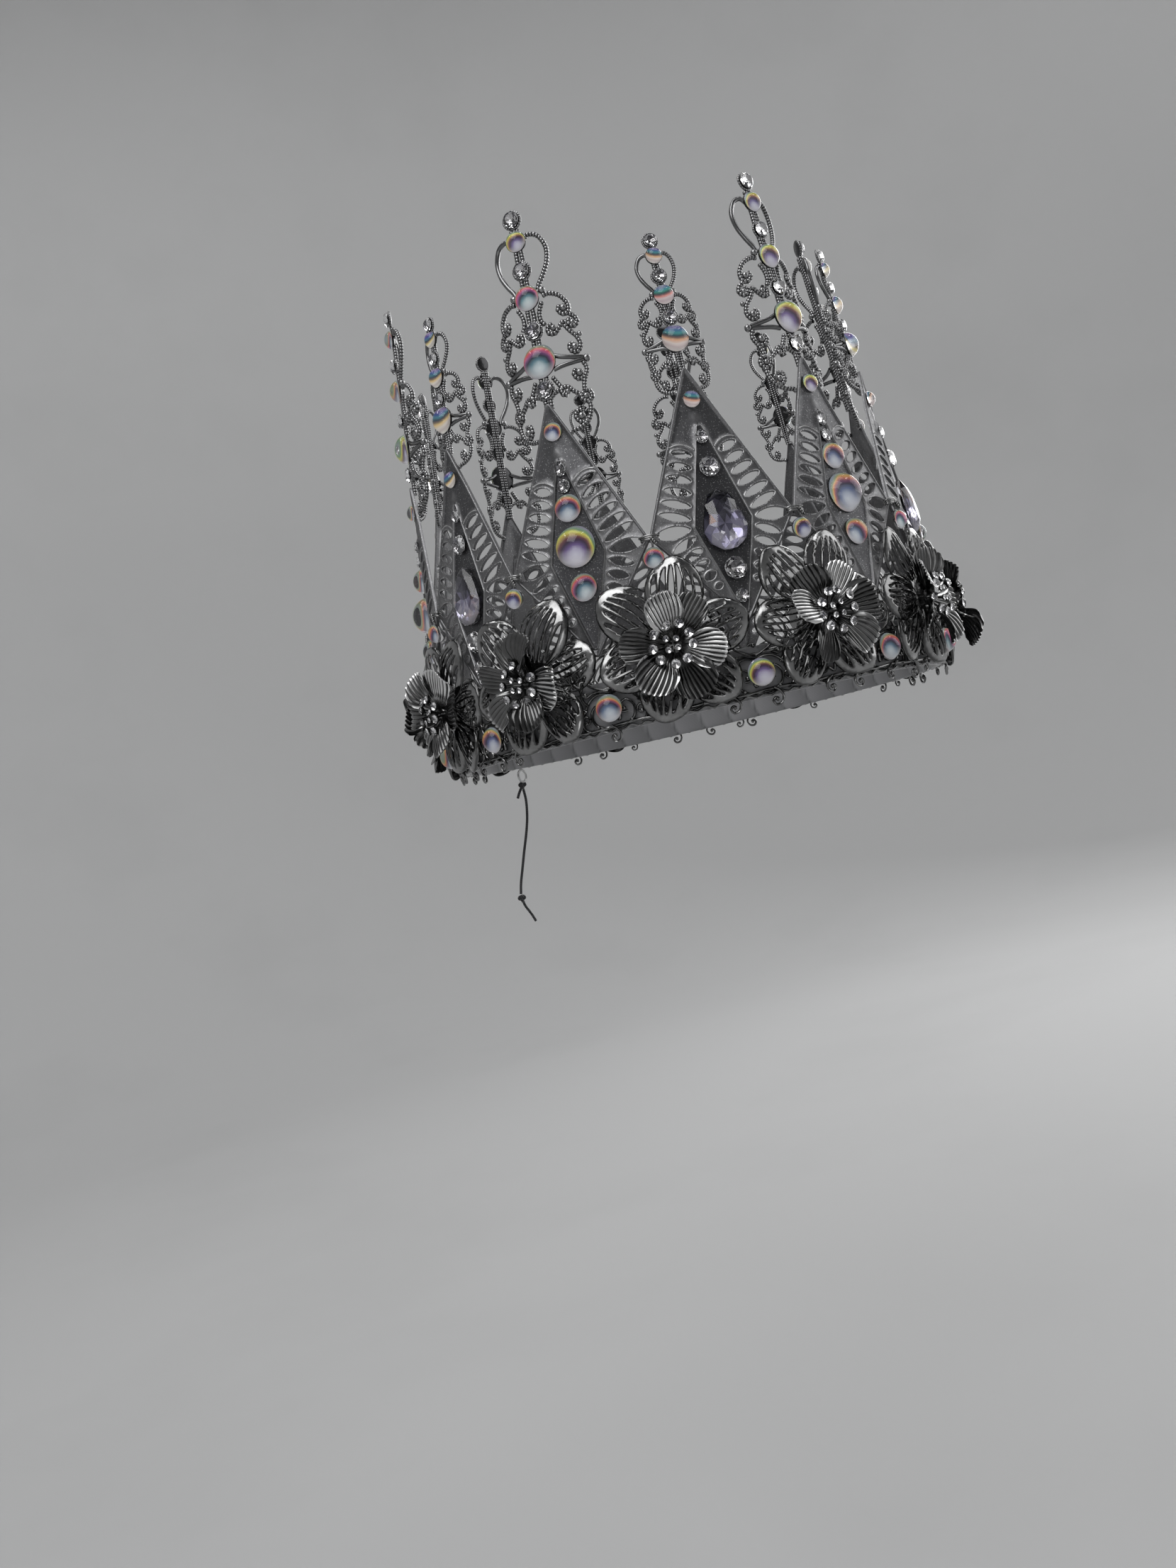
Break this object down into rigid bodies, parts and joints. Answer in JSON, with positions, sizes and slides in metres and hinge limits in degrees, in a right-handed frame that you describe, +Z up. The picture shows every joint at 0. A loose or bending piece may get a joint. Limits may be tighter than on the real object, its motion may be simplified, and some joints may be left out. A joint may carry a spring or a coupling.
{
  "type": "crown",
  "caption": "Tall openwork crown of leaning kite plates with filigree finials, layered metal flowers, iridescent cabochons and crystals on a ribbon-wrapped band, with an elastic tie at the back",
  "frame": {"origin": "centre of the head opening at the lower edge of the band", "axes": "+Z up through the spires, front of the crown towards -Y, tie cord at the back (+Y)"},
  "size_m": [0.1852, 0.1852, 0.2124],
  "materials": {
    "plate_metal": "satin",
    "finial_metal": "satin",
    "flower_metal": "polished",
    "filigree_metal": "polished",
    "hoop_steel": "plain",
    "ribbon": "satin",
    "tie_wire": "dark",
    "ab_glass": "iridescent",
    "crystal": "faceted",
    "pear_crystal": "faceted",
    "cord": "braided elastic"
  },
  "bodies": {
    "root": {"kite_plate_01": "plate_metal", "kite_plate_02": "plate_metal", "kite_plate_03": "plate_metal", "kite_plate_04": "plate_metal", "kite_plate_05": "plate_metal", "kite_plate_06": "plate_metal", "kite_plate_07": "plate_metal", "kite_plate_08": "plate_metal", "kite_plate_09": "plate_metal", "kite_plate_10": "plate_metal", "kite_plate_11": "plate_metal", "kite_plate_12": "plate_metal", "finial_01": "finial_metal", "finial_02": "finial_metal", "finial_03": "finial_metal", "finial_04": "finial_metal", "finial_05": "finial_metal", "finial_06": "finial_metal", "finial_07": "finial_metal", "finial_08": "finial_metal", "finial_09": "finial_metal", "finial_10": "finial_metal", "finial_11": "finial_metal", "finial_12": "finial_metal", "lower_flower_01": "flower_metal", "lower_flower_02": "flower_metal", "lower_flower_03": "flower_metal", "lower_flower_04": "flower_metal", "lower_flower_05": "flower_metal", "lower_flower_06": "flower_metal", "lower_flower_07": "flower_metal", "lower_flower_08": "flower_metal", "lower_flower_09": "flower_metal", "lower_flower_10": "flower_metal", "lower_flower_11": "flower_metal", "lower_flower_12": "flower_metal", "upper_flower_01": "flower_metal", "upper_flower_02": "flower_metal", "upper_flower_03": "flower_metal", "upper_flower_04": "flower_metal", "upper_flower_05": "flower_metal", "upper_flower_06": "flower_metal", "upper_flower_07": "flower_metal", "upper_flower_08": "flower_metal", "upper_flower_09": "flower_metal", "upper_flower_10": "flower_metal", "upper_flower_11": "flower_metal", "upper_flower_12": "flower_metal", "band_hoop": "hoop_steel", "ribbon_wrap": "ribbon", "base_filigree": "filigree_metal", "plate_ties": "tie_wire", "ab_cabochons": "ab_glass", "rhinestones": "crystal", "pear_stones": "pear_crystal", "stamen_crystals": "crystal", "stamen_wires": "tie_wire", "tie_loop": "finial_metal", "tie_cord": "cord", "cord_knots": "cord"}
  },
  "joints": []
}
